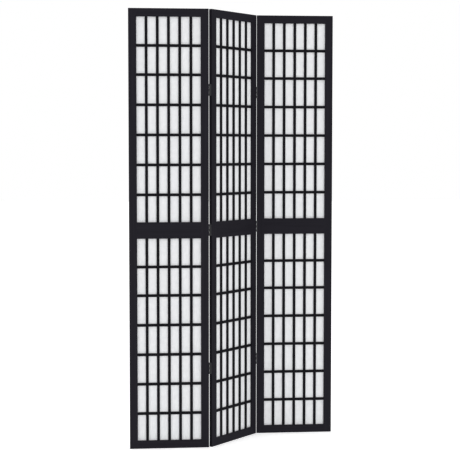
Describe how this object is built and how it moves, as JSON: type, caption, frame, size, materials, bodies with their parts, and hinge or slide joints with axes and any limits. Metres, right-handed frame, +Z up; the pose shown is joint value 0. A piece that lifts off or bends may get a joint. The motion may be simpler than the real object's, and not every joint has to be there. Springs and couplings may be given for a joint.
{
  "type": "shoji folding screen",
  "caption": "Free-standing folding screen: tall hinged panels of near-black lattice with a wide mid rail, backed with white paper, standing in a zigzag.",
  "frame": {"origin": "on the floor under the centre of the middle panel's foot, which is the centre of the zigzag's outline", "axes": "+X along the two outer panels from left to right, +Y towards the back, so -Y faces the viewer on the lattice side, +Z up"},
  "size_m": [1.0742, 0.3284, 2.2],
  "materials": {
    "wood": "near-black satin stain over a fine straight grain",
    "paper": "matt white translucent shoji paper with faint fibres",
    "hinges": "satin black paint, worn a little grey",
    "screws": "black, cross-slotted heads"
  },
  "bodies": {
    "middle_panel": {"left_joint_bottom_hinge_middle_leaf": "hinges", "left_joint_bottom_hinge_pin": "hinges", "left_joint_middle_hinge_middle_leaf": "hinges", "left_joint_middle_hinge_pin": "hinges", "left_joint_middle_panel_screws": "screws", "left_joint_top_hinge_middle_leaf": "hinges", "left_joint_top_hinge_pin": "hinges", "middle_panel_bottom_rail": "wood", "middle_panel_lattice_crossbars": "wood", "middle_panel_lattice_uprights": "wood", "middle_panel_left_stile": "wood", "middle_panel_lower_paper": "paper", "middle_panel_mid_rail": "wood", "middle_panel_right_stile": "wood", "middle_panel_top_rail": "wood", "middle_panel_upper_paper": "paper", "right_joint_bottom_hinge_middle_leaf": "hinges", "right_joint_bottom_hinge_pin": "hinges", "right_joint_middle_hinge_middle_leaf": "hinges", "right_joint_middle_hinge_pin": "hinges", "right_joint_middle_panel_screws": "screws", "right_joint_top_hinge_middle_leaf": "hinges", "right_joint_top_hinge_pin": "hinges"},
    "left_panel": {"left_joint_bottom_hinge_outer_leaf": "hinges", "left_joint_left_panel_screws": "screws", "left_joint_middle_hinge_outer_leaf": "hinges", "left_joint_top_hinge_outer_leaf": "hinges", "left_panel_bottom_rail": "wood", "left_panel_lattice_crossbars": "wood", "left_panel_lattice_uprights": "wood", "left_panel_left_stile": "wood", "left_panel_lower_paper": "paper", "left_panel_mid_rail": "wood", "left_panel_right_stile": "wood", "left_panel_top_rail": "wood", "left_panel_upper_paper": "paper"},
    "right_panel": {"right_joint_bottom_hinge_outer_leaf": "hinges", "right_joint_middle_hinge_outer_leaf": "hinges", "right_joint_right_panel_screws": "screws", "right_joint_top_hinge_outer_leaf": "hinges", "right_panel_bottom_rail": "wood", "right_panel_lattice_crossbars": "wood", "right_panel_lattice_uprights": "wood", "right_panel_left_stile": "wood", "right_panel_lower_paper": "paper", "right_panel_mid_rail": "wood", "right_panel_right_stile": "wood", "right_panel_top_rail": "wood", "right_panel_upper_paper": "paper"}
  },
  "joints": [
    {"name": "left_fold", "type": "hinge", "parent": "middle_panel", "child": "left_panel", "pos_m": [-0.1379, -0.14552, 1.1], "axis": [0, 0, -1], "range_deg": [-49.6, 130.4]},
    {"name": "right_fold", "type": "hinge", "parent": "middle_panel", "child": "right_panel", "pos_m": [0.1379, 0.14552, 1.1], "axis": [0, 0, -1], "range_deg": [-49.6, 130.4]}
  ]
}
